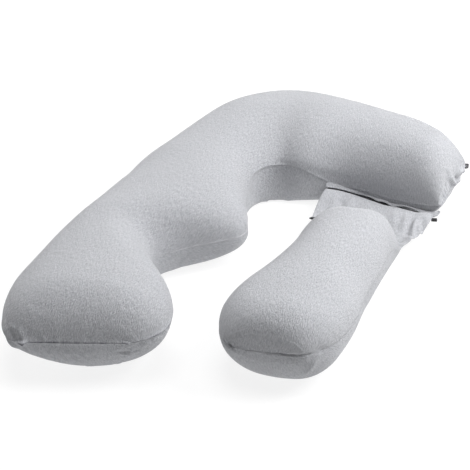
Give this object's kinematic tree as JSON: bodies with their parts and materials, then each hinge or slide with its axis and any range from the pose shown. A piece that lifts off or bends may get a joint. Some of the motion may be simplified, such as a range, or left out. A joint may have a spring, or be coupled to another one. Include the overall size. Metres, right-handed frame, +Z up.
{
  "type": "u-shaped pregnancy pillow",
  "caption": "Long U-shaped body pillow in heathered jersey, with a curved main body and a shorter stuffed leg zipped on below a cloth flap.",
  "frame": {"origin": "centre of the pillow's box in plan, on the floor that it lies on", "axes": "+Y from the open ends of the U towards the head roll, +X towards the zipped-on side leg, +Z up"},
  "size_m": [0.7928, 1.3852, 0.2253],
  "materials": {
    "grey_melange_jersey": "soft matte knit with a fine pale and dark grey fleck",
    "black_zip": "matte black coil and tape",
    "grey_pull": "matte dark grey tab"
  },
  "bodies": {
    "root": {"main_pillow": "grey_melange_jersey", "side_pillow": "grey_melange_jersey", "join_flap": "grey_melange_jersey", "join_zip": "black_zip", "zip_slider": "black_zip", "side_zip_end": "black_zip", "corner_pull": "grey_pull"}
  },
  "joints": []
}
